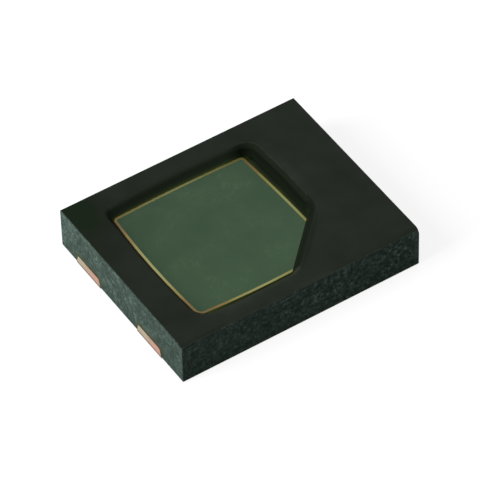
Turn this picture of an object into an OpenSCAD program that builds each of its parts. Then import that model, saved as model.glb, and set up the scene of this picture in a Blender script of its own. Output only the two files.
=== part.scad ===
// Surface-mount silicon photodiode: a flat, sawn, leadless package of black epoxy
// with an open window over its chip. Millimetres, +Z up. The origin lies under the
// middle of the package, on the plane of the solder lands.

/* [Package] */
// Length of the package, between its two rows of terminals
package_l = 5.0; // [4.9:0.1:6.0]
// Width of the package
package_w = 4.0; // [3.8:0.1:5.0]
// Height of the package above the solder lands
package_h = 0.9; // [0.86:0.02:1.3]
// How far the solder lands stand below the epoxy
standoff = 0.02; // [0.01:0.01:0.04]
// Rounding of the top edge along the front long side
front_edge_r = 0.12; // [0.04:0.02:0.2]

/* [Window] */
// Width of the chip's border that the epoxy covers round the window
seal_w = 0.125; // [0.105:0.005:0.16]
// Offset of the window from the chip's middle, along X
window_shift_x = 0.04; // [-0.06:0.01:0.06]
// Offset of the window from the chip's middle, along Y
window_shift_y = -0.05; // [-0.06:0.01:0.06]
// Lean of the window's walls from the vertical, in degrees
window_draft = 27; // [10:1:35]
// Length of the corner that the epoxy keeps over the bond pad, along each side
corner_cut = 1.06; // [0.9:0.01:1.3]
// Rounding of the window's upright corners beside the cut and opposite it
window_corner_r = 0.16; // [0.08:0.02:0.3]
// Rounding of the window's front corner on the cathode side
window_front_r = 0.24; // [0.1:0.02:0.3]
// Rounding of the window's rear corner on the cathode side
window_rear_r = 0.05; // [0.04:0.01:0.16]
// Rounding of the window's rim at the top face
rim_r = 0.12; // [0.06:0.01:0.14]
// Outward bow of the window's two whole sides
window_bow = 0.04; // [0:0.01:0.05]
// How far the window widens towards its cut corner
window_swell = 0.03; // [0:0.01:0.04]

/* [Chip] */
// Side of the active area, between its corners
active_side = 2.72; // [2.5:0.02:2.8]
// Width of the contact ring round the active area
ring_w = 0.05; // [0.04:0.005:0.06]
// Outward bow of the contact ring's sides at the front and on the cathode side
ring_bow = 0.05; // [0:0.01:0.07]
// How far the ring's side on the anode side leans, outwards at the bond pad and inwards at the rear
ring_lean = 0.05; // [0:0.01:0.07]
// Rounding of the contact ring's outer corners, all but the front one on the cathode side
ring_corner_r = 0.08; // [0.08:0.01:0.2]
// Rounding of the contact ring's front outer corner on the cathode side
ring_front_r = 0.16; // [0.08:0.02:0.3]
// Width of the bare silicon outside the contact ring, at its corners
chip_border = 0.17; // [0.12:0.005:0.2]
// Thickness of the chip
chip_t = 0.45; // [0.3:0.01:0.46]
// Thickness of the contact metal and of the filter coat
film_t = 0.01; // [0.006:0.001:0.015]
// Side of the square bond pad in the corner of the ring
pad_side = 0.22; // [0.14:0.02:0.3]
// Position of the chip's middle along X
chip_x = -0.34; // [-0.4:0.01:-0.3]
// Position of the chip's middle along Y
chip_y = 0.04; // [-0.1:0.01:0.1]
// Thickness of the adhesive under the chip
bond_line_t = 0.03; // [0.02:0.005:0.04]
// Width of the adhesive that is squeezed out round the chip
bond_line_fillet = 0.05; // [0.02:0.01:0.08]

/* [Leadframe] */
// Thickness of the copper sheet
frame_t = 0.2; // [0.15:0.01:0.22]
// Thickness left where the copper is etched away from below
half_etch_t = 0.1; // [0.07:0.01:0.12]
// Border of the paddle round the chip
paddle_border = 0.1; // [0.09:0.01:0.15]
// Width of a terminal at its solder land
terminal_w = 0.8; // [0.5:0.05:1.0]
// Length of a terminal's solder land, from the sawn face inwards
terminal_l = 0.9; // [0.6:0.05:0.95]
// Distance between the two terminals of a row
terminal_pitch = 2.0; // [1.6:0.05:2.2]
// Offset of the terminal rows from the package's middle, along Y
terminal_shift = 0.1; // [-0.15:0.05:0.15]
// Narrowing of a terminal's flank from its land to its top
terminal_flank = 0.04; // [0:0.01:0.06]
// Rounding of a terminal's upper edges
terminal_edge_r = 0.05; // [0.02:0.01:0.06]
// Rounding of the etched corners in plan
etch_corner_r = 0.12; // [0.05:0.01:0.2]
// Width of the bar that joins the two anode terminals
anode_bar_w = 0.35; // [0.2:0.05:0.5]

/* [Bond wire] */
// Diameter of the bond wire
wire_d = 0.03; // [0.02:0.005:0.05]
// Diameter of the ball on the bond pad and of the stitch on the terminal
ball_d = 0.09; // [0.07:0.01:0.12]
// Height of the ball and of the stitch
ball_h = 0.02; // [0.015:0.005:0.03]
// Height of the level stretch of the wire above the chip
loop_h = 0.12; // [0.09:0.01:0.14]
// Bending radius of the wire
wire_bend_r = 0.06; // [0.03:0.01:0.08]
// How far the wire stays level past the edge of the chip
wire_edge_run = 0.05; // [0.02:0.01:0.1]
// Length of the wire that lies flat before the stitch
wire_foot_l = 0.06; // [0.04:0.01:0.1]

/* [Hidden] */
$fn = 48;

// Length by which a cutting shape runs past the face that it opens
past = 0.1;
// Steps along a corner and a side of the window and the ring, the rim's rounding and a bend of the wire
corner_steps = 6;
side_steps = 6;
rim_steps = 6;
bend_steps = 6;
// Sides of the wire's section
wire_sides = 8;

// Heights of the stack, from the paddle to the films on the chip
chip_z = frame_t + bond_line_t;
chip_top_z = chip_z + chip_t;
film_top_z = chip_top_z + film_t;

// Plan of the chip, the ring and the paddle
ring_half = active_side / 2 + ring_w;
ring_corners = [
  [-ring_half, -ring_half],
  [ring_half + ring_lean, -ring_half],
  [ring_half - ring_lean, ring_half],
  [-ring_half, ring_half]
];
ring_radii = [ring_front_r, ring_corner_r, ring_corner_r, ring_corner_r];
// Bow of each side in turn: the sides on the anode side and at the rear bow half as far
ring_bows = [ring_bow, ring_bow / 2, ring_bow / 2, ring_bow];
chip_side = 2 * (ring_half + chip_border);
paddle_side = chip_side + 2 * paddle_border;
paddle_left_x = chip_x - paddle_side / 2;

// The bond pad's outer corner lies in the middle of the ring's rounded corner
pad_reach = ring_half - ring_corner_r + (ring_corner_r - ring_w / 2) / sqrt(2);
pad_x = chip_x + ring_lean + pad_reach - pad_side / 2;
pad_y = chip_y - pad_reach + pad_side / 2;

// Places of the terminals: the rear row is positive in Y
terminal_ys = [terminal_shift + terminal_pitch / 2, terminal_shift - terminal_pitch / 2];
anode_inner_x = package_l / 2 - terminal_l;
// Half the width of a terminal's flat top
terminal_top = terminal_w / 2 - terminal_flank - terminal_edge_r;

// Plan of the window where it meets the chip, as corners in turn
window_half = chip_side / 2 - seal_w;
window_x = chip_x + window_shift_x;
window_y = chip_y + window_shift_y;
window_corners = [
  [-window_half, -window_half],
  [window_half - corner_cut, -window_half - window_swell],
  [window_half + window_swell, corner_cut - window_half],
  [window_half, window_half],
  [-window_half, window_half]
];
window_radii = [window_front_r, window_corner_r, window_corner_r, window_corner_r, window_rear_r];
// Bow of each side in turn: the cut is straight, and the sides beside it bow half as far
window_bows = [window_bow / 2, 0, window_bow / 2, window_bow, window_bow];

// Ends of the bond wire and its direction in plan
wire_start = [pad_x, pad_y, film_top_z + ball_h / 2];
wire_end = [anode_inner_x + anode_bar_w / 2, terminal_ys[1], frame_t + wire_d / 2];
wire_span = norm([wire_end.x - wire_start.x, wire_end.y - wire_start.y]);
wire_dir = [(wire_end.x - wire_start.x) / wire_span, (wire_end.y - wire_start.y) / wire_span, 0];

function unit(v) = v / norm(v);
function outward(from, to) = unit([to.y - from.y, from.x - to.x]);
function heading(v) = atan2(v.y, v.x);
function arc(centre, r, from, to, steps) =
  [for (i = [0:steps]) let (a = from + (to - from) * i / steps) centre + r * [cos(a), sin(a)]];

// A closed solid through rings of points, each ring with as many points as the next.
module loft(rings) {
  n = len(rings[0]);
  last = len(rings) - 1;
  polyhedron(
    points = [for (ring = rings) each ring],
    faces = concat(
      [[for (i = [0:n - 1]) i]],
      [for (k = [0:last - 1], i = [0:n - 1])
        let (j = (i + 1) % n) [k * n + i, (k + 1) * n + i, (k + 1) * n + j]],
      [for (k = [0:last - 1], i = [0:n - 1])
        let (j = (i + 1) % n) [k * n + i, (k + 1) * n + j, k * n + j]],
      [[for (i = [n - 1:-1:0]) last * n + i]]
    ),
    convexity = 4
  );
}

// Outline through the corners c in turn, with a rounding for each corner and a bow for the side
// that follows it, grown by grow.
function bowed_outline(c, radii, bows, grow) =
  let (n = len(c))
  [for (i = [0:n - 1])
    let (
      j = (i + 1) % n,
      before = outward(c[(i + n - 1) % n], c[i]),
      after = outward(c[i], c[j]),
      next = outward(c[j], c[(j + 1) % n]),
      centre = c[i] - radii[i] * (before + after) / (1 + before * after),
      next_centre = c[j] - radii[j] * (after + next) / (1 + after * next),
      from = heading(before),
      to = from + (heading(after) - from + 360) % 360,
      start = centre + (radii[i] + grow) * after,
      end = next_centre + (radii[j] + grow) * after
    )
    each concat(
      arc(centre, radii[i] + grow, from, to, corner_steps),
      [for (s = [1:side_steps - 1])
        let (t = s / side_steps)
        start + t * (end - start) + after * bows[i] * 4 * t * (1 - t)]
    )
  ];

function window_outline(grow) = bowed_outline(window_corners, window_radii, window_bows, grow);

// Section of the window's wall, as [growth, height] from the chip up to the rounded rim.
function window_section() =
  let (
    run = (package_h - chip_top_z) * tan(window_draft),
    rim_reach = run + rim_r * tan((90 - window_draft) / 2),
    rim_centre = [rim_reach, package_h - rim_r]
  )
  concat(
    [[0, chip_top_z - past], [0, chip_top_z]],
    arc(rim_centre, rim_r, 180 - window_draft, 90, rim_steps),
    [[rim_reach, package_h + past]]
  );

module window_opening() {
  translate([window_x, window_y, 0])
    loft([for (s = window_section()) [for (p = window_outline(s[0])) [p.x, p.y, s[1]]]]);
}

// The sawn block of epoxy before the window and the pockets, with its rounded front edge.
module epoxy_block() {
  front_y = -package_w / 2;
  translate([-package_l / 2, 0, 0])
    rotate([90, 0, 90])
      linear_extrude(package_l) {
        translate([front_y, standoff])
          square([package_w, package_h - standoff - front_edge_r]);
        translate([front_y + front_edge_r, standoff])
          square([package_w - front_edge_r, package_h - standoff]);
        translate([front_y + front_edge_r, package_h - front_edge_r])
          circle(front_edge_r);
      }
}

module mould_body() {
  color("#20231f")
    difference() {
      epoxy_block();
      window_opening();
      cathode_leadframe(past);
      anode_leadframe(past);
      bond_line();
      photodiode_chip();
      contact_ring();
      optical_filter();
      bond_wire();
    }
}

// A flat outline with round corners, between two opposite corners.
module round_outline(from, to) {
  r = etch_corner_r;
  size = to - from;
  translate(from + [r, 0])
    square([size.x - 2 * r, size.y]);
  translate(from + [0, r])
    square([size.x, size.y - 2 * r]);
  for (x = [r, size.x - r], y = [r, size.y - r])
    translate(from + [x, y])
      circle(r);
}

// Copper that is etched away from below, so that the epoxy holds it from underneath.
module half_etched(from, to) {
  translate([0, 0, frame_t - half_etch_t])
    linear_extrude(half_etch_t)
      round_outline(from, to);
}

// Section of a terminal: a flat land, leaning flanks and rounded upper edges.
module terminal_section() {
  land = terminal_w / 2;
  corner_z = frame_t - terminal_edge_r;
  polygon([
    [-land, 0],
    [land, 0],
    [terminal_top + terminal_edge_r, corner_z],
    [terminal_top, frame_t],
    [-terminal_top, frame_t],
    [-terminal_top - terminal_edge_r, corner_z]
  ]);
  for (x = [-terminal_top, terminal_top])
    translate([x, corner_z])
      circle(terminal_edge_r);
}

// A terminal at the left sawn face, with round inner corners; saw runs it past that face.
module terminal(y, saw) {
  translate([-package_l / 2, y, 0])
    intersection() {
      translate([-saw, 0, 0])
        rotate([90, 0, 90])
          linear_extrude(terminal_l + saw)
            terminal_section();
      linear_extrude(frame_t)
        round_outline([-terminal_l, -terminal_w / 2], [terminal_l, terminal_w / 2]);
    }
}

// The paddle under the chip, its two terminals and the necks that join them to it.
module cathode_leadframe(saw = 0) {
  color("#c98f6b")
    union() {
      half_etched([paddle_left_x, chip_y - paddle_side / 2],
                  [paddle_left_x + paddle_side, chip_y + paddle_side / 2]);
      for (y = terminal_ys) {
        terminal(y, saw);
        half_etched([terminal_l / 2 - package_l / 2, y - terminal_top],
                    [paddle_left_x + paddle_side / 2, y + terminal_top]);
      }
    }
}

// The two anode terminals and the bar that joins them and takes the bond wire.
module anode_leadframe(saw = 0) {
  color("#c98f6b")
    union() {
      half_etched([anode_inner_x, terminal_ys[1] - terminal_top],
                  [anode_inner_x + anode_bar_w, terminal_ys[0] + terminal_top]);
      mirror([1, 0, 0])
        for (y = terminal_ys)
          terminal(y, saw);
    }
}

module square_plate(side, x, y, z, t) {
  translate([x - side / 2, y - side / 2, z])
    cube([side, side, t]);
}

module bond_line() {
  color("#9a9c9e")
    square_plate(chip_side + 2 * bond_line_fillet, chip_x, chip_y, frame_t, bond_line_t);
}

module photodiode_chip() {
  color("#3a3f45")
    square_plate(chip_side, chip_x, chip_y, chip_z, chip_t);
}

// Plan of the contact ring's outer edge, grown outwards by grow.
module ring_plan(grow) {
  translate([chip_x, chip_y])
    polygon(bowed_outline(ring_corners, ring_radii, ring_bows, grow));
}

module pad_plan() {
  translate([pad_x - pad_side / 2, pad_y - pad_side / 2])
    square(pad_side);
}

module contact_ring() {
  color("#c9a347")
    translate([0, 0, chip_top_z])
      linear_extrude(film_t) {
        difference() {
          ring_plan(0);
          ring_plan(-ring_w);
        }
        pad_plan();
      }
}

module optical_filter() {
  color("#40543f")
    translate([0, 0, chip_top_z])
      linear_extrude(film_t)
        difference() {
          ring_plan(-ring_w);
          pad_plan();
        }
}

// Centre line of the wire, as [distance in plan, height]: up from the ball, level past the
// edge of the chip, down on a slant and flat again onto the terminal.
function wire_route() =
  let (
    level_z = chip_top_z + loop_h,
    edge = (chip_x + chip_side / 2 - wire_start.x) / wire_dir.x + wire_edge_run,
    crest = [edge, level_z - wire_bend_r],
    foot = [wire_span - wire_foot_l, wire_end.z + wire_bend_r],
    slant = atan2(crest.y - foot.y, foot.x - crest.x) + asin(2 * wire_bend_r / norm(foot - crest))
  )
  concat(
    [[0, wire_start.z]],
    arc([wire_bend_r, level_z - wire_bend_r], wire_bend_r, 180, 90, bend_steps),
    arc(crest, wire_bend_r, 90, 90 - slant, bend_steps),
    arc(foot, wire_bend_r, 270 - slant, 270, bend_steps),
    [[wire_span, wire_end.z]]
  );

// Section of the wire at one point of its route, square to the route there.
function wire_ring(route, i) =
  let (
    ahead = unit(route[min(i + 1, len(route) - 1)] - route[max(i - 1, 0)]),
    along = ahead.x * wire_dir + [0, 0, ahead.y],
    side = [-wire_dir.y, wire_dir.x, 0],
    up = cross(along, side),
    centre = [wire_start.x, wire_start.y, route[i].y] + route[i].x * wire_dir
  )
  [for (k = [0:wire_sides - 1])
    let (a = 360 * k / wire_sides)
    centre + wire_d / 2 * (cos(a) * side + sin(a) * up)];

module bond_wire() {
  route = wire_route();
  color("#d9b24c")
    union() {
      translate([wire_start.x, wire_start.y, film_top_z])
        cylinder(d = ball_d, h = ball_h);
      loft([for (i = [0:len(route) - 1]) wire_ring(route, i)]);
      translate([wire_end.x, wire_end.y, frame_t])
        cylinder(d = ball_d, h = ball_h);
    }
}

mould_body();
cathode_leadframe();
anode_leadframe();
bond_line();
photodiode_chip();
contact_ring();
optical_filter();
bond_wire();
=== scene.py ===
import math

import bmesh
import bpy
from mathutils import Matrix, Vector, noise


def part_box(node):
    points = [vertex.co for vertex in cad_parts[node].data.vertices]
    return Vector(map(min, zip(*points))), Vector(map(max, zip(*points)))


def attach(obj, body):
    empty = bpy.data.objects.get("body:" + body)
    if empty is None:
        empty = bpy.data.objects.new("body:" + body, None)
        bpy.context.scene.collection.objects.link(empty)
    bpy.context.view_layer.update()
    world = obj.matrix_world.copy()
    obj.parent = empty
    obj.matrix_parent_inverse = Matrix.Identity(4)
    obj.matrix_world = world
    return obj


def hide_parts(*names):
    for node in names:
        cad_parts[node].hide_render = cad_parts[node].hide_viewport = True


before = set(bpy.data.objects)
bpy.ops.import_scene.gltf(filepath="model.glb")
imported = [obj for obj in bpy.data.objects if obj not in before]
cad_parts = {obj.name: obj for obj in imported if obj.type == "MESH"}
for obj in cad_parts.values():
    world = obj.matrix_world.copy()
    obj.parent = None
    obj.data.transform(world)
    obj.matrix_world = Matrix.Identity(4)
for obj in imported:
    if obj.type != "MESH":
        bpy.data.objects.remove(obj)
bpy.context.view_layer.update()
mm = 0.001


# Leadframe: two etched copper pieces, the paddle with the cathode terminals and the anode bar.
# The saw that parts the packages leaves the terminals' ends bare, flush with the short sides.
# The solder lands underneath are plated, and the rest lies inside the epoxy.
def colour(code):
    """An sRGB hex colour such as "#20231f" as linear red, green, blue and alpha."""
    parts = [int(code[i:i + 2], 16) / 255 for i in (1, 3, 5)]
    return [p / 12.92 if p <= 0.04045 else ((p + 0.055) / 1.055) ** 2.4 for p in parts] + [1.0]


def add(tree, kind, sockets=None, stops=None, **settings):
    """Adds a node; sockets gives each input a value or the output that feeds it, stops fills a ramp."""
    node = tree.nodes.new(kind)
    for name, value in settings.items():
        setattr(node, name, value)
    for key, value in (sockets or {}).items():
        if isinstance(value, bpy.types.Node):
            value = value.outputs[0]
        if isinstance(value, bpy.types.NodeSocket):
            tree.links.new(value, node.inputs[key])
        else:
            node.inputs[key].default_value = value
    for i, (position, code) in enumerate(stops or []):
        if i >= len(node.color_ramp.elements):
            node.color_ramp.elements.new(position)
        node.color_ramp.elements[i].position = position
        node.color_ramp.elements[i].color = colour(code)
    return node


def start_material(name):
    """An empty material, its node tree and the place on the object in metres."""
    material = bpy.data.materials.new(name)
    material.use_nodes = True
    material.node_tree.nodes.clear()
    place = add(material.node_tree, "ShaderNodeTexCoord").outputs["Object"]
    return material, material.node_tree, place


def dress(node_name, material):
    """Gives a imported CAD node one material."""
    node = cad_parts[node_name]
    node.data.materials.clear()
    node.data.materials.append(material)


lead_pitch = 2.0 * mm
lead_row_y = 0.1 * mm
lead_half = 0.4 * mm
plating_z = 0.004 * mm
burr_and_shade_z = 0.06 * mm
burr_and_shade_wander = 0.05 * mm
smear_size = 0.12 * mm
saw_streak = 0.015 * mm
saw_streak_depth = 0.004 * mm

# Sawn copper shows pink towards the front of each terminal and is smeared to a cream tone
# towards its rear; the saw's burr and painted shade darken its lower edge.
copper, tree, place = start_material("etched copper, sawn and plated")
axes = add(tree, "ShaderNodeSeparateXYZ", {"Vector": place})
from_row = add(tree, "ShaderNodeMath", {0: axes.outputs["Y"], 1: lead_row_y}, operation="SUBTRACT")
on_lead = add(tree, "ShaderNodeMath", {0: from_row, 1: lead_pitch, 2: 0.0}, operation="WRAP")
lead_end = add(tree, "ShaderNodeMapRange", {"Value": on_lead, "From Min": lead_pitch / 2 - lead_half,
                                            "From Max": lead_pitch / 2 + lead_half})
smear = add(tree, "ShaderNodeTexNoise", {"Vector": place, "Scale": 1 / smear_size, "Detail": 4.0})
wander = add(tree, "ShaderNodeMath", {0: smear, 1: 0.7, 2: -0.35}, operation="MULTIPLY_ADD")
wander = add(tree, "ShaderNodeMath", {0: lead_end, 1: wander}, operation="ADD")
cut_copper = add(tree, "ShaderNodeValToRGB", {"Fac": wander},
                 [(0.0, "#b8977c"), (0.2, "#d0988a"), (0.45, "#c09d85"), (0.75, "#b9ab8e")])
# The saw's burr and painted shade darken the lower edge.
burr_and_shade_place = add(tree, "ShaderNodeMath", {0: smear, 1: burr_and_shade_wander, 2: axes.outputs["Z"]},
                 operation="MULTIPLY_ADD")
burr_and_shade = add(tree, "ShaderNodeMapRange",
           {"Value": burr_and_shade_place, "From Min": burr_and_shade_z, "From Max": 1.4 * burr_and_shade_z, "To Min": 0.9, "To Max": 0})
edged = add(tree, "ShaderNodeMix", {0: burr_and_shade, 6: cut_copper, 7: colour("#7d6654")}, data_type="RGBA")
plating = add(tree, "ShaderNodeValToRGB", {"Fac": smear}, [(0.3, "#b4ad9d"), (0.7, "#cfc9b9")])
on_land = add(tree, "ShaderNodeMath", {0: axes.outputs["Z"], 1: plating_z}, operation="LESS_THAN")
finish = add(tree, "ShaderNodeMix", {0: on_land, 6: edged.outputs[2], 7: plating}, data_type="RGBA")
along_cut = add(tree, "ShaderNodeMapping", {"Vector": place, "Scale": (1, 0.12, 1)})
streaks = add(tree, "ShaderNodeTexNoise", {"Vector": along_cut, "Scale": 1 / saw_streak, "Detail": 4.0})
rough = add(tree, "ShaderNodeMapRange", {"Value": streaks, "To Min": 0.3, "To Max": 0.5})
relief = add(tree, "ShaderNodeBump", {"Height": streaks, "Strength": 0.5, "Distance": saw_streak_depth})
surface = add(tree, "ShaderNodeBsdfPrincipled",
              {"Base Color": finish.outputs[2], "Roughness": rough, "Normal": relief, "Metallic": 1.0})
add(tree, "ShaderNodeOutputMaterial", {"Surface": surface})
dress("cathode_leadframe", copper)
dress("anode_leadframe", copper)


# Bond line: the silver-filled adhesive that holds the chip on the paddle.
# It is a dull grey paste with fine silver flakes, squeezed out a little round the chip.
flake_size = 0.02 * mm
flake_depth = 0.003 * mm
paste, tree, place = start_material("silver-filled adhesive")
flakes = add(tree, "ShaderNodeTexVoronoi", {"Vector": place, "Scale": 1 / flake_size})
paint = add(tree, "ShaderNodeValToRGB", {"Fac": flakes}, [(0.2, "#b4b6b8"), (0.7, "#85878a")])
relief = add(tree, "ShaderNodeBump", {"Height": flakes, "Strength": 0.4, "Distance": flake_depth})
surface = add(tree, "ShaderNodeBsdfPrincipled",
              {"Base Color": paint, "Roughness": 0.55, "Metallic": 0.4, "Normal": relief})
add(tree, "ShaderNodeOutputMaterial", {"Surface": surface})
dress("bond_line", paste)


# Chip: a square of polished silicon, glued to the paddle. Its bare border shows as a dark
# strip between the contact ring and the window's wall; its oxide gives it an olive cast beside
# the ring, and its colour darkens outwards and towards the rear.
chip_low, chip_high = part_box("photodiode_chip")
chip_x, chip_y, _ = (chip_low + chip_high) / 2
ring_reach = 1.41 * mm
olive_border = 0.03 * mm
dark_border = 0.15 * mm
oxide_patch = 0.3 * mm
oxide_wander = 0.06 * mm
rear_dark_from = 0.2 * mm
rear_dark_to = 1.3 * mm
silicon, tree, place = start_material("polished silicon with oxide")
centred = add(tree, "ShaderNodeMapping", {"Vector": place, "Location": (-chip_x, -chip_y, 0)})
axes = add(tree, "ShaderNodeSeparateXYZ", {"Vector": centred})
side_x = add(tree, "ShaderNodeMath", {0: axes.outputs["X"]}, operation="ABSOLUTE")
side_y = add(tree, "ShaderNodeMath", {0: axes.outputs["Y"]}, operation="ABSOLUTE")
out = add(tree, "ShaderNodeMath", {0: side_x, 1: side_y}, operation="MAXIMUM")
oxide = add(tree, "ShaderNodeTexNoise", {"Vector": place, "Scale": 1 / oxide_patch, "Detail": 3.0})
out = add(tree, "ShaderNodeMath", {0: oxide, 1: oxide_wander, 2: out}, operation="MULTIPLY_ADD")
out = add(tree, "ShaderNodeMapRange", {"Value": out, "From Min": ring_reach + olive_border,
                                       "From Max": ring_reach + dark_border})
rearward = add(tree, "ShaderNodeMapRange", {"Value": axes.outputs["Y"], "From Min": rear_dark_from,
                                            "From Max": rear_dark_to, "To Min": 0, "To Max": 0.5})
out = add(tree, "ShaderNodeMath", {0: out, 1: rearward}, operation="ADD")
paint = add(tree, "ShaderNodeValToRGB", {"Fac": out},
            [(0.0, "#3c4917"), (0.5, "#1c250b"), (1.0, "#0d130c")])
surface = add(tree, "ShaderNodeBsdfPrincipled",
              {"Base Color": paint, "Roughness": 0.15, "Specular IOR Level": 0.1})
add(tree, "ShaderNodeOutputMaterial", {"Surface": surface})
dress("photodiode_chip", silicon)


# Contact ring: a thin gold-coloured film round the active area, joined to the bond pad.
# It is deposited and etched. It is brightest along the middle of each side, tan towards the
# corners, painted a little darker towards the right as painted shade, and duller and more even at the
# rear.
rear_side_from = 1.2 * mm
rear_side_to = 1.36 * mm
tarnish_patch = 0.35 * mm
right_shade_slope = (-0.14 / mm, 0.04 / mm, 0)
gold_film, tree, place = start_material("deposited contact metal")
centred = add(tree, "ShaderNodeMapping", {"Vector": place, "Location": (-chip_x, -chip_y, 0)})
axes = add(tree, "ShaderNodeSeparateXYZ", {"Vector": centred})
side_x = add(tree, "ShaderNodeMath", {0: axes.outputs["X"]}, operation="ABSOLUTE")
side_y = add(tree, "ShaderNodeMath", {0: axes.outputs["Y"]}, operation="ABSOLUTE")
along = add(tree, "ShaderNodeMath", {0: side_x, 1: side_y}, operation="MINIMUM")
patches = add(tree, "ShaderNodeTexNoise", {"Vector": place, "Scale": 1 / tarnish_patch, "Detail": 3.0})
wander = add(tree, "ShaderNodeMath", {0: patches, 1: 0.5, 2: -0.25}, operation="MULTIPLY_ADD")
reach = add(tree, "ShaderNodeMapRange", {"Value": axes.outputs["Y"], "From Min": rear_side_from,
                                         "From Max": rear_side_to, "To Min": 1 / ring_reach,
                                         "To Max": 0.55 / ring_reach})
tarnish = add(tree, "ShaderNodeMath", {0: along, 1: reach, 2: wander}, operation="MULTIPLY_ADD")
fresh = add(tree, "ShaderNodeValToRGB", {"Fac": tarnish},
            [(0.1, "#e2dd99"), (0.45, "#d3c580"), (0.7, "#bc9d68"), (0.95, "#9c8c6a")])
# Painted shade: darker towards the right and a little towards the front.
right_shade_lean = add(tree, "ShaderNodeVectorMath",
           {0: centred, 1: right_shade_slope}, operation="DOT_PRODUCT").outputs["Value"]
thickness = add(tree, "ShaderNodeMapRange", {"Value": right_shade_lean, "From Min": -0.25, "From Max": 0.25})
thin = add(tree, "ShaderNodeValToRGB", {"Fac": thickness}, [(0.0, "#dae2ce"), (1.0, "#ffffff")])
paint = add(tree, "ShaderNodeMix", {0: 1.0, 6: fresh, 7: thin}, data_type="RGBA", blend_type="MULTIPLY")
rough = add(tree, "ShaderNodeMapRange", {"Value": patches, "To Min": 0.2, "To Max": 0.35})
dull = add(tree, "ShaderNodeMapRange", {"Value": axes.outputs["Y"], "From Min": rear_side_from,
                                        "From Max": rear_side_to, "To Min": 0, "To Max": 0.3})
rough = add(tree, "ShaderNodeMath", {0: rough, 1: dull}, operation="ADD")
surface = add(tree, "ShaderNodeBsdfPrincipled",
              {"Base Color": paint.outputs[2], "Roughness": rough, "Metallic": 1.0})
add(tree, "ShaderNodeOutputMaterial", {"Surface": surface})
dress("contact_ring", gold_film)


# Optical filter: the green coat over the active area, which passes only visible light.
# It mirrors green from thin layers, so it is glossy, even and hardly takes a shadow; a few
# faint paler marks lie on it.
cloud_size = 0.7 * mm
faint_mark_size = 0.3 * mm
wipe_width = 0.04 * mm
wipe_turn = 0.6
rear_darkening = -0.08 / mm
green_coat, tree, place = start_material("green filter coat")
clouds = add(tree, "ShaderNodeTexNoise", {"Vector": place, "Scale": 1 / cloud_size, "Detail": 5.0})
depth = add(tree, "ShaderNodeSeparateXYZ", {"Vector": place}).outputs["Y"]
tone = add(tree, "ShaderNodeMath", {0: depth, 1: rear_darkening, 2: clouds}, operation="MULTIPLY_ADD")
even = add(tree, "ShaderNodeValToRGB", {"Fac": tone}, [(0.3, "#4d674f"), (0.7, "#546f54")])
faint_marks = add(tree, "ShaderNodeTexNoise",
            {"Vector": place, "Scale": 1 / faint_mark_size, "Detail": 4.0, "Distortion": 1.5})
faint_marks = add(tree, "ShaderNodeMath", {0: faint_marks, 1: 0.5, 2: 0.02}, operation="COMPARE")
where = add(tree, "ShaderNodeMapRange", {"Value": clouds, "From Min": 0.48, "From Max": 0.6,
                                         "To Min": 0, "To Max": 0.25})
faint_marks = add(tree, "ShaderNodeMath", {0: faint_marks, 1: where}, operation="MULTIPLY")
paint = add(tree, "ShaderNodeMix", {0: faint_marks, 6: even, 7: colour("#6b836a")}, data_type="RGBA")
wipes = add(tree, "ShaderNodeMapping",
            {"Vector": place, "Rotation": (0, 0, wipe_turn), "Scale": (0.15, 1, 1)})
wiped = add(tree, "ShaderNodeTexNoise", {"Vector": wipes, "Scale": 1 / wipe_width, "Detail": 2.0})
rough = add(tree, "ShaderNodeMapRange", {"Value": wiped, "To Min": 0.12, "To Max": 0.2})
surface = add(tree, "ShaderNodeBsdfPrincipled",
              {"Base Color": paint.outputs[2], "Roughness": rough, "Metallic": 0.8})
add(tree, "ShaderNodeOutputMaterial", {"Surface": surface})
dress("optical_filter", green_coat)


# Bond wire: a drawn gold wire from the bond pad over the chip's edge to the anode bar.
# It is welded at both ends and lies wholly inside the epoxy.
draw_mark = 0.01 * mm
wire_gold, tree, place = start_material("drawn gold wire")
draw_marks = add(tree, "ShaderNodeTexNoise", {"Vector": place, "Scale": 1 / draw_mark, "Detail": 2.0})
paint = add(tree, "ShaderNodeValToRGB", {"Fac": draw_marks}, [(0.3, "#d9b24c"), (0.7, "#e8c868")])
rough = add(tree, "ShaderNodeMapRange", {"Value": draw_marks, "To Min": 0.2, "To Max": 0.35})
surface = add(tree, "ShaderNodeBsdfPrincipled", {"Base Color": paint, "Roughness": rough, "Metallic": 1.0})
add(tree, "ShaderNodeOutputMaterial", {"Surface": surface})
dress("bond_wire", wire_gold)


# Mould body: black epoxy filled with silica, moulded round the leadframe under a soft film
# that leaves the top smooth and the window open over the chip. The four sides are sawn,
# so they are rough, with grey filler grains laid bare.
body_low, body_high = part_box("mould_body")
front_edge_r = 0.12 * mm
front_edge_steps = 8
edge_break = 0.014 * mm
sharp_turn = math.radians(60)
grain_pitch = 0.02 * mm
window_x = -0.30 * mm
window_y = -0.01 * mm
window_half = 1.455 * mm
window_swell = 0.03 * mm
corner_cut = 1.06 * mm
window_radii = [0.24 * mm, 0.16 * mm, 0.16 * mm, 0.16 * mm, 0.05 * mm]
corner_steps = 12
side_cuts = 15
shortest_side = 0.3 * mm
window_bow = 0.04 * mm
window_draft = math.radians(27)
rim_r = 0.12 * mm
rim_steps = 10
floor_sink = 0.03 * mm
floor_inset = 0.004 * mm
# Upward part of the normal beyond which a face counts as level.
level = 0.99

body_mesh = bmesh.new()
bmesh.ops.create_cube(body_mesh, size=1.0)
body_size = body_high - body_low
body_place = Matrix.Translation((body_low + body_high) / 2) @ Matrix.Diagonal((*body_size, 1))
bmesh.ops.transform(body_mesh, matrix=body_place, verts=body_mesh.verts)


def at(value, target):
    """True where two places agree to within two thousandths of a millimetre."""
    return abs(value - target) < 0.002 * mm


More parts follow.
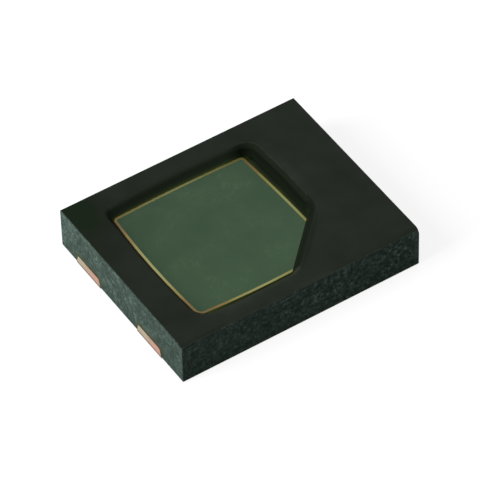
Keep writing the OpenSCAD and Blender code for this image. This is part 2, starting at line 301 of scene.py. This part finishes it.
front_edge = [e for e in body_mesh.edges
              if all(at(v.co.y, body_low.y) and at(v.co.z, body_high.z) for v in e.verts)]
bmesh.ops.bevel(body_mesh, geom=front_edge, offset=front_edge_r, offset_type="OFFSET",
                segments=front_edge_steps, profile=0.5, affect="EDGES", material=-1, clamp_overlap=True)
sharp = [e for e in body_mesh.edges if e.calc_face_angle(0) > sharp_turn]
bmesh.ops.bevel(body_mesh, geom=sharp, offset=edge_break, offset_type="OFFSET", segments=2,
                profile=0.5, affect="EDGES", material=-1, clamp_overlap=True)


def slice_sides(axis, low, high):
    """Cuts the sides into strips of the grain's pitch, leaving the top and the bottom whole."""
    normal = Vector((0, 0, 0))
    normal[axis] = 1
    cuts = round((high - low) / grain_pitch)
    uncut = [f for f in body_mesh.faces if abs(f.normal.z) < level
             and max(v.co[axis] for v in f.verts) - min(v.co[axis] for v in f.verts) > grain_pitch]
    for i in range(1, cuts):
        here = low + (high - low) * i / cuts
        corners = dict.fromkeys(v for f in uncut for v in f.verts)
        sides = dict.fromkeys(e for f in uncut for e in f.edges)
        cut = bmesh.ops.bisect_plane(body_mesh, geom=[*corners, *sides, *uncut],
                                     plane_co=normal * here, plane_no=normal)
        uncut = [f for f in cut["geom"] if isinstance(f, bmesh.types.BMFace)
                 and f.calc_center_median()[axis] > here]


for axis in (2, 0, 1):
    slice_sides(axis, body_low[axis] + edge_break, body_high[axis] - edge_break)

top_z = body_high.z
tops = [f for f in body_mesh.faces if f.normal.z > level and at(f.calc_center_median().z, top_z)]
bmesh.ops.delete(body_mesh, geom=tops, context="FACES_ONLY")

chip_top = chip_high.z
wall_run = (top_z - chip_top) * math.tan(window_draft)
rim_reach = wall_run + rim_r * math.tan((math.pi / 2 - window_draft) / 2)
foot_corners = [Vector((-window_half, -window_half)),
                Vector((window_half - corner_cut, -window_half - window_swell)),
                Vector((window_half + window_swell, corner_cut - window_half)),
                Vector((window_half, window_half)),
                Vector((-window_half, window_half))]
foot_bows = [window_bow / 2, 0, window_bow / 2, window_bow, window_bow]
foot_outward = []
for first, last in zip(foot_corners, foot_corners[1:] + foot_corners[:1]):
    side = (last - first).normalized()
    foot_outward.append(Vector((side.y, -side.x)))

rim_verts = []
for i, corner in enumerate(foot_corners):
    spread = foot_outward[i - 1] + foot_outward[i]
    x, y = corner + spread * rim_reach / (1 + foot_outward[i - 1].dot(foot_outward[i]))
    rim_verts.append(body_mesh.verts.new((window_x + x, window_y + y, top_z)))
window = body_mesh.faces.new(rim_verts)
for i, vert in enumerate(rim_verts):
    turn = foot_outward[i - 1].angle(foot_outward[i])
    bmesh.ops.bevel(body_mesh, geom=[vert], affect="VERTICES",
                    offset=(window_radii[i] + rim_reach) * math.tan(turn / 2), offset_type="OFFSET",
                    segments=corner_steps, profile=0.5, material=-1, clamp_overlap=True)
body_mesh.faces.ensure_lookup_table()
window = max((f for f in body_mesh.faces if at(f.calc_center_median().z, top_z)),
             key=lambda f: len(f.verts))
straight = [e for e in window.edges if e.calc_length() > shortest_side]
middle = Vector((window_x, window_y, top_z))
for edge in straight:
    first, last = (v.co.copy() for v in edge.verts)
    split = bmesh.ops.subdivide_edges(body_mesh, edges=[edge], cuts=side_cuts)
    from_middle = ((first + last) / 2 - middle).to_2d()
    side = max(range(len(foot_outward)), key=lambda i: foot_outward[i].dot(from_middle))
    for vert in (g for g in split["geom_inner"] if isinstance(g, bmesh.types.BMVert)):
        t = (vert.co - first).length / (last - first).length
        vert.co += foot_outward[side].to_3d() * foot_bows[side] * 4 * t * (1 - t)
if window.normal.z < 0:
    window.normal_flip()
section = [(rim_reach, top_z)]
for i in range(1, rim_steps + 1):
    a = math.pi / 2 + (math.pi / 2 - window_draft) * i / rim_steps
    section.append((rim_reach + rim_r * math.cos(a), top_z - rim_r + rim_r * math.sin(a)))
section += [(0, chip_top), (-floor_inset, chip_top - floor_sink)]
for (reach, z), (next_reach, next_z) in zip(section, section[1:]):
    bmesh.ops.inset_individual(body_mesh, faces=[window], thickness=reach - next_reach,
                               depth=next_z - z, use_even_offset=True)
open_edges = [e for e in body_mesh.edges if e.is_boundary]
bmesh.ops.triangle_fill(body_mesh, edges=open_edges, use_beauty=True, normal=(0, 0, 1))
bmesh.ops.recalc_face_normals(body_mesh, faces=body_mesh.faces)

window_reach = window_half + rim_reach + 2 * window_bow
inside_rim = {f for f in body_mesh.faces
              if abs(f.calc_center_median().x - window_x) < window_reach
              and abs(f.calc_center_median().y - window_y) < window_reach}
# Limits on the normals: walls and sides point less far up than the first, and those faces of
# the front rounding that point further up than the second keep the film's smooth skin.
steep_limit = 0.97
skin_limit = 0.7
forward_limit = -0.05
underside_limit = -0.75
flat_limit = 0.999
wall_faces = [f for f in inside_rim if 0 < f.normal.z < steep_limit]
front_rounding = {f for f in body_mesh.faces
                  if f.normal.y < forward_limit and skin_limit < f.normal.z}
sawn_faces = [f for f in body_mesh.faces if f not in inside_rim and f not in front_rounding
              and underside_limit < f.normal.z < steep_limit]
for face in body_mesh.faces:
    face.smooth = abs(face.normal.z) < flat_limit
for face in sawn_faces:
    face.material_index = 1
for face in wall_faces:
    face.material_index = 2


def pit(point):
    """Depth of the sawn surface below its plane in metres: torn grains over a gentle unevenness,
    fading out towards the top and the upright edges."""
    torn_grain = 0.08 * mm
    fine_grain = 0.035 * mm
    broad_wave = 0.3 * mm
    least_depth = 0.007 * mm
    torn_depth = 0.012 * mm
    fine_depth = 0.004 * mm
    broad_depth = 0.004 * mm
    top_fade = 0.14 * mm
    corner_fade = 0.12 * mm
    grains = noise.voronoi(point / torn_grain)[0][0]
    fine = noise.noise(point / fine_grain)
    broad = noise.noise(point / broad_wave)
    from_corner = max(body_high.x - abs(point.x), body_high.y - abs(point.y))
    fade = min(1, (top_z - point.z) / top_fade, from_corner / corner_fade)
    return fade * (least_depth + torn_depth * grains + fine_depth * fine + broad_depth * broad)


body_mesh.normal_update()
sawn_sides = {}
for face in sawn_faces:
    for vert in face.verts:
        sawn_sides.setdefault(vert, []).append(face.normal.copy())
for vert, normals in sawn_sides.items():
    if len(normals) == len(vert.link_faces):
        outward = sum(normals, Vector()).normalized()
        vert.co -= outward * pit(vert.co) * (1 - outward.z ** 2)

mesh = bpy.data.meshes.new("mould_body_dressed")
body_mesh.to_mesh(mesh)
body_mesh.free()
mould = bpy.data.objects.new("mould_body_dressed", mesh)
bpy.context.scene.collection.objects.link(mould)
weighted = mould.modifiers.new("weighted normals", "WEIGHTED_NORMAL")
weighted.keep_sharp = True

# The film leaves an even satin black with a slight olive cast. Painted into it are a darker,
# greener painted reflection at the rear left corner; on the window's rim, painted shade along
# the cut corner, a paler painted glow along the front and a painted highlight along the right;
# and a painted sheen on the rounded front edge.
film_mark = 0.8 * mm
film_grit = 0.03 * mm
film_grit_depth = 0.002 * mm
shade_near = 0.8 * mm
shade_far = 2.1 * mm
skin, tree, place = start_material("moulded black epoxy")
film_marks = add(tree, "ShaderNodeTexNoise", {"Vector": place, "Scale": 1 / film_mark, "Detail": 5.0})
# Painted reflection: darker and greener towards the rear left corner.
corner = add(tree, "ShaderNodeMapping", {"Vector": place, "Location": (body_low.x, body_high.y, top_z),
                                         "Scale": (0.5, 1, 1)}, vector_type="TEXTURE")
from_corner = add(tree, "ShaderNodeVectorMath", {0: corner}, operation="LENGTH").outputs["Value"]
painted_corner_reflection = add(tree, "ShaderNodeMapRange", {"Value": from_corner, "From Min": shade_near,
                                          "From Max": shade_far, "To Min": -0.5, "To Max": 0})
tone = add(tree, "ShaderNodeMath", {0: film_marks, 1: painted_corner_reflection}, operation="ADD")
# Each painted patch of light or shade: middle in X and Y, turn in degrees, half length, half width in mm,
# change of tone.
cut_corner_shade = (0.78, -1.09, 45, 0.8, 0.09, -0.3)
front_rim_glow = (-0.8, -1.66, 0, 1.2, 0.25, 0.25)
right_rim_highlight = (1.38, 0.45, 90, 1.2, 0.2, 0.25)
rounded_edge_sheen = (0.0, -1.97, 0, 4.0, 0.11, 0.3)
for x, y, turn, half_length, half_width, change in (cut_corner_shade, front_rim_glow, right_rim_highlight, rounded_edge_sheen):
    beside = add(tree, "ShaderNodeMapping",
                 {"Vector": place, "Location": (x * mm, y * mm, top_z),
                  "Rotation": (0, 0, math.radians(turn)),
                  "Scale": (half_length * mm, half_width * mm, 1)}, vector_type="TEXTURE")
    beside = add(tree, "ShaderNodeVectorMath", {0: beside}, operation="LENGTH").outputs["Value"]
    painted_light = add(tree, "ShaderNodeMapRange", {"Value": beside, "From Min": 0.3, "From Max": 1.0,
                                             "To Min": change, "To Max": 0})
    tone = add(tree, "ShaderNodeMath", {0: tone, 1: painted_light}, operation="ADD")
paint = add(tree, "ShaderNodeValToRGB", {"Fac": tone},
            [(0.02, "#021202"), (0.13, "#0d1309"), (0.32, "#121510"), (0.5, "#161a15"), (0.7, "#1a1e19"),
             (1.0, "#252a24")])
rough = add(tree, "ShaderNodeMapRange", {"Value": film_marks, "To Min": 0.2, "To Max": 0.25})
film_grain = add(tree, "ShaderNodeTexNoise", {"Vector": place, "Scale": 1 / film_grit, "Detail": 2.0})
relief = add(tree, "ShaderNodeBump", {"Height": film_grain, "Strength": 0.12, "Distance": film_grit_depth})
surface = add(tree, "ShaderNodeBsdfPrincipled",
              {"Base Color": paint, "Roughness": rough, "Normal": relief,
               "Specular IOR Level": 0.28, "Specular Tint": colour("#dff5da")})
add(tree, "ShaderNodeOutputMaterial", {"Surface": surface})

# The soft film stretches round the window's rim and down its wall, so they grow dull there. Their
# dark colour is painted shade, darkest at the cut corner over its whole height, with a painted
# highlight along the top of the rim. The foot of the rear wall is painted with an olive glow, a
# painted reflection of the gold beside it; the left and the front wall are painted paler as painted light.
stretch_mark = 0.2 * mm
stretch_wander = 0.02 * mm
height_shift = 0.01 * mm
cut_from = 1.5 * mm
cut_to = 1.6 * mm
rear_from = 1.34 * mm
rear_to = 1.44 * mm
far_end_from = 0.7 * mm
far_end_to = 1.0 * mm
left_from = -1.6 * mm
left_to = -1.75 * mm
left_end_from = 1.0 * mm
left_end_to = 1.3 * mm
front_from = -1.5 * mm
front_to = -1.56 * mm
wall, tree, place = start_material("dull moulded window wall")
stretch = add(tree, "ShaderNodeTexNoise", {"Vector": place, "Scale": 1 / stretch_mark, "Detail": 4.0})
axes = add(tree, "ShaderNodeSeparateXYZ", {"Vector": place})
height = add(tree, "ShaderNodeMath", {0: stretch, 1: stretch_wander, 2: axes.outputs["Z"]},
             operation="MULTIPLY_ADD")
height = add(tree, "ShaderNodeMapRange", {"Value": height, "From Min": chip_top + height_shift,
                                          "From Max": top_z + height_shift})
on_cut = add(tree, "ShaderNodeMath", {0: axes.outputs["X"], 1: axes.outputs["Y"]}, operation="SUBTRACT")
on_cut = add(tree, "ShaderNodeMapRange", {"Value": on_cut, "From Min": cut_from, "From Max": cut_to,
                                          "To Min": 0, "To Max": 0.27})
height = add(tree, "ShaderNodeMath", {0: height, 1: on_cut}, operation="SUBTRACT")
# Painted shade up the wall, with a painted highlight at the top of the rim.
painted_shade_and_highlight = add(tree, "ShaderNodeValToRGB", {"Fac": height},
            [(0.0, "#10160e"), (0.55, "#0b100a"), (0.72, "#131810"), (0.93, "#151912"), (1.0, "#272c25")])
# Painted olive glow at the rear wall's foot: a painted reflection of the gold.
painted_olive_glow = add(tree, "ShaderNodeValToRGB", {"Fac": height},
            [(0.0, "#465232"), (0.22, "#293321"), (0.4, "#212a21"), (0.7, "#1f261c"), (0.87, "#21271e"),
             (1.0, "#232821")])
at_rear = add(tree, "ShaderNodeMapRange",
              {"Value": axes.outputs["Y"], "From Min": rear_from, "From Max": rear_to})
from_far = add(tree, "ShaderNodeMapRange", {"Value": axes.outputs["X"], "From Min": far_end_from,
                                            "From Max": far_end_to, "To Min": 1, "To Max": 0})
at_rear = add(tree, "ShaderNodeMath", {0: at_rear, 1: from_far}, operation="MULTIPLY")
paint = add(tree, "ShaderNodeMix", {0: at_rear, 6: painted_shade_and_highlight, 7: painted_olive_glow}, data_type="RGBA")
# Painted light: the left and the front wall are paler.
at_left = add(tree, "ShaderNodeMapRange",
              {"Value": axes.outputs["X"], "From Min": left_from, "From Max": left_to})
from_rear = add(tree, "ShaderNodeMapRange", {"Value": axes.outputs["Y"], "From Min": left_end_from,
                                             "From Max": left_end_to, "To Min": 1, "To Max": 0})
at_left = add(tree, "ShaderNodeMath", {0: at_left, 1: from_rear}, operation="MULTIPLY")
at_front = add(tree, "ShaderNodeMapRange",
               {"Value": axes.outputs["Y"], "From Min": front_from, "From Max": front_to})
lit = add(tree, "ShaderNodeMath", {0: at_left, 1: at_front}, operation="MAXIMUM")
lit = add(tree, "ShaderNodeMath", {0: on_cut, 1: 0.3, 2: lit}, operation="MULTIPLY_ADD")
paint = add(tree, "ShaderNodeMix", {0: lit, 6: paint.outputs[2], 7: colour("#282d23")}, data_type="RGBA")
rough = add(tree, "ShaderNodeMapRange", {"Value": stretch, "To Min": 0.45, "To Max": 0.6})
surface = add(tree, "ShaderNodeBsdfPrincipled",
              {"Base Color": paint.outputs[2], "Roughness": rough, "Specular IOR Level": 0.03})
add(tree, "ShaderNodeOutputMaterial", {"Surface": surface})

# The saw lays open pale grains of silica, in clumps, and drags the terminals' copper a little way
# up as a brown stain, with painted shade along the terminals' upper edge. A painted highlight makes
# the sides palest just below the top edge, and painted shade makes them darkest at the foot. The
# grain is faint on the short ones; on the long ones it grows to the right and fades at the top.
grain_size = 0.07 * mm
speckle_size = 0.11 * mm
clump_size = 0.5 * mm
grit_size = 0.03 * mm
grit_depth = 0.006 * mm
rear_lightening = 0.012 / mm
short_side_x = 2.4 * mm
edge_highlight_z = 0.83 * mm
edge_highlight_half = 0.05 * mm
grain_full_z = 0.78 * mm
grain_faint_z = 0.88 * mm
foot_shade_z = 0.08 * mm
foot_shade_end_z = 0.25 * mm
stain_and_shade_full_z = 0.22 * mm
stain_and_shade_end_z = 0.31 * mm
sawn, tree, place = start_material("sawn silica-filled epoxy")
grains = add(tree, "ShaderNodeTexVoronoi", {"Vector": place, "Scale": 1 / grain_size})
speckle = add(tree, "ShaderNodeTexNoise",
              {"Vector": place, "Scale": 1 / speckle_size, "Detail": 5.0, "Roughness": 0.7})
clumps = add(tree, "ShaderNodeTexNoise", {"Vector": place, "Scale": 1 / clump_size, "Detail": 3.0})
shade = add(tree, "ShaderNodeMath", {0: grains, 1: -0.22, 2: speckle}, operation="MULTIPLY_ADD")
axes = add(tree, "ShaderNodeSeparateXYZ", {"Vector": place})
short_side = add(tree, "ShaderNodeMath", {0: axes.outputs["X"]}, operation="ABSOLUTE")
short_side = add(tree, "ShaderNodeMath", {0: short_side, 1: short_side_x}, operation="GREATER_THAN")
fade = add(tree, "ShaderNodeMapRange", {"Value": axes.outputs["Z"], "From Min": grain_full_z,
                                        "From Max": grain_faint_z, "To Min": 1.0, "To Max": 0.3})
rightward = add(tree, "ShaderNodeMapRange", {"Value": axes.outputs["X"], "From Min": body_low.x,
                                             "From Max": body_high.x, "To Min": 0.75, "To Max": 1.3})
fade = add(tree, "ShaderNodeMath", {0: fade, 1: rightward}, operation="MULTIPLY")
contrast = add(tree, "ShaderNodeMix", {0: short_side, 2: fade, 3: 0.6}, data_type="FLOAT")
shade = add(tree, "ShaderNodeMix", {0: contrast, 2: 0.415, 3: shade},
            data_type="FLOAT", clamp_factor=False)
shade = add(tree, "ShaderNodeMath", {0: clumps, 1: 0.2, 2: shade}, operation="MULTIPLY_ADD")
shade = add(tree, "ShaderNodeMath", {0: axes.outputs["Y"], 1: rear_lightening, 2: shade},
            operation="MULTIPLY_ADD")
# Painted highlight just below the top edge.
from_edge = add(tree, "ShaderNodeMath", {0: axes.outputs["Z"], 1: edge_highlight_z}, operation="SUBTRACT")
from_edge = add(tree, "ShaderNodeMath", {0: from_edge}, operation="ABSOLUTE")
edge = add(tree, "ShaderNodeMapRange", {"Value": from_edge, "From Min": 0.0, "From Max": edge_highlight_half,
                                        "To Min": 0.055, "To Max": 0.0})
shade = add(tree, "ShaderNodeMath", {0: shade, 1: edge}, operation="ADD")
# Painted shade at the foot.
painted_foot_shade = add(tree, "ShaderNodeMapRange", {"Value": axes.outputs["Z"], "From Min": foot_shade_z,
                                        "From Max": foot_shade_end_z, "To Min": -0.04, "To Max": 0.0})
shade = add(tree, "ShaderNodeMath", {0: shade, 1: painted_foot_shade}, operation="ADD")
grit = add(tree, "ShaderNodeTexNoise", {"Vector": place, "Scale": 1 / grit_size, "Detail": 3.0})
grit_tone = add(tree, "ShaderNodeMapRange", {"Value": grit, "To Min": -0.16, "To Max": 0.16})
shade = add(tree, "ShaderNodeMath", {0: shade, 1: grit_tone}, operation="ADD")
paint = add(tree, "ShaderNodeValToRGB", {"Fac": shade},
            [(0.325, "#1f2a24"), (0.525, "#36433d"), (0.725, "#596a62")])
# Brown copper stain with painted shade above the terminals.
from_row = add(tree, "ShaderNodeMath", {0: axes.outputs["Y"], 1: lead_row_y}, operation="SUBTRACT")
row_side = add(tree, "ShaderNodeMath", {0: from_row}, operation="ABSOLUTE")
from_lead = add(tree, "ShaderNodeMath", {0: row_side, 1: lead_pitch / 2}, operation="SUBTRACT")
lead_side = add(tree, "ShaderNodeMath", {0: from_lead}, operation="ABSOLUTE")
beside = add(tree, "ShaderNodeMapRange", {"Value": lead_side, "From Min": 0.9 * lead_half,
                                          "From Max": 1.15 * lead_half, "To Min": 0.8, "To Max": 0})
above = add(tree, "ShaderNodeMapRange", {"Value": axes.outputs["Z"], "From Min": stain_and_shade_full_z,
                                         "From Max": stain_and_shade_end_z, "To Min": 1, "To Max": 0})
stain_and_shade = add(tree, "ShaderNodeMath", {0: beside, 1: above}, operation="MULTIPLY")
stain_and_shade = add(tree, "ShaderNodeMath", {0: stain_and_shade, 1: short_side}, operation="MULTIPLY")
paint = add(tree, "ShaderNodeMix", {0: stain_and_shade, 6: paint, 7: colour("#3a3c29")}, data_type="RGBA")
rough = add(tree, "ShaderNodeMapRange", {"Value": speckle, "To Min": 0.6, "To Max": 0.8})
relief = add(tree, "ShaderNodeBump", {"Height": grit, "Strength": 0.4, "Distance": grit_depth})
surface = add(tree, "ShaderNodeBsdfPrincipled",
              {"Base Color": paint.outputs[2], "Roughness": rough, "Normal": relief,
               "Specular IOR Level": 0.03})
add(tree, "ShaderNodeOutputMaterial", {"Surface": surface})

mould.data.materials.append(skin)
mould.data.materials.append(sawn)
mould.data.materials.append(wall)
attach(mould, "root")
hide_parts("mould_body")


# Floor: a plain white sheet under the part, far larger than any view of it. Part of its
# white is its own for the camera and for reflections, so that the shadow on it stays light.
floor_half = 3.0
floor_white = 0.84
floor_mesh = bmesh.new()
bmesh.ops.create_grid(floor_mesh, x_segments=4, y_segments=4, size=floor_half)
mesh = bpy.data.meshes.new("floor")
floor_mesh.to_mesh(mesh)
floor_mesh.free()
floor = bpy.data.objects.new("floor", mesh)
bpy.context.scene.collection.objects.link(floor)
sheet, tree, place = start_material("white sheet")
path = add(tree, "ShaderNodeLightPath")
seen = add(tree, "ShaderNodeMath",
           {0: path.outputs["Is Camera Ray"], 1: path.outputs["Is Glossy Ray"]}, operation="MAXIMUM")
seen = add(tree, "ShaderNodeMath", {0: seen, 1: path.outputs["Is Transmission Ray"]}, operation="MAXIMUM")
own_white = add(tree, "ShaderNodeMath", {0: seen, 1: floor_white}, operation="MULTIPLY")
surface = add(tree, "ShaderNodeBsdfPrincipled",
              {"Base Color": colour("#767676"), "Roughness": 0.9, "Specular IOR Level": 0.0,
               "Emission Color": (1, 1, 1, 1), "Emission Strength": own_white})
add(tree, "ShaderNodeOutputMaterial", {"Surface": surface})
floor.data.materials.append(sheet)


# Light: a tall soft box on the left, polarised so that it leaves no glare, in an even, dim
# surround whose reflection gives the top its sheen; so the left side is the lightest.
key_radiance = 12.5
key_width = 0.8
key_height = 1.5
key_distance = 1.5
surround_strength = 0.45
key_towards = Vector((-0.9, 0.11, 0.41)).normalized()
lamp = bpy.data.lights.new("key_left", "AREA")
lamp.shape = "RECTANGLE"
lamp.size = key_width
lamp.size_y = key_height
lamp.energy = key_radiance * math.pi * key_width * key_height
key = bpy.data.objects.new("key_left", lamp)
key.location = key_towards * key_distance
key.rotation_euler = (-key_towards).to_track_quat("-Z", "Y").to_euler()
key.visible_glossy = False
bpy.context.scene.collection.objects.link(key)
world = bpy.data.worlds.new("dim surround")
world.use_nodes = True
world.node_tree.nodes["Background"].inputs["Color"].default_value = (1, 1, 1, 1)
world.node_tree.nodes["Background"].inputs["Strength"].default_value = surround_strength
bpy.context.scene.world = world


# Camera: the photograph's view, from the front left and well above, with a long lens.
# Its place and its lens were fitted to the outline of the part in the photograph.
heading = math.radians(32.03)
elevation = math.radians(46.73)
roll = math.radians(-1.77)
aim = Vector((-0.031, -0.061, 0.45)) * mm
camera_distance = 78.61 * mm
focal_pixels = 4423.2
photo_pixels = 480
camera_data = bpy.data.cameras.new("photo_camera")
camera_data.sensor_width = 36.0
camera_data.lens = focal_pixels / photo_pixels * camera_data.sensor_width
camera_data.clip_start = camera_distance / 100
camera_data.clip_end = 100.0
camera = bpy.data.objects.new("photo_camera", camera_data)
ahead = Vector((math.sin(heading) * math.cos(elevation), math.cos(heading) * math.cos(elevation),
                -math.sin(elevation)))
camera.location = aim - ahead * camera_distance
camera.rotation_mode = "QUATERNION"
camera.rotation_quaternion = ahead.to_track_quat("-Z", "Y") @ Matrix.Rotation(roll, 3, "Z").to_quaternion()
bpy.context.scene.collection.objects.link(camera)
bpy.context.scene.camera = camera
bpy.context.scene.view_settings.view_transform = "Standard"
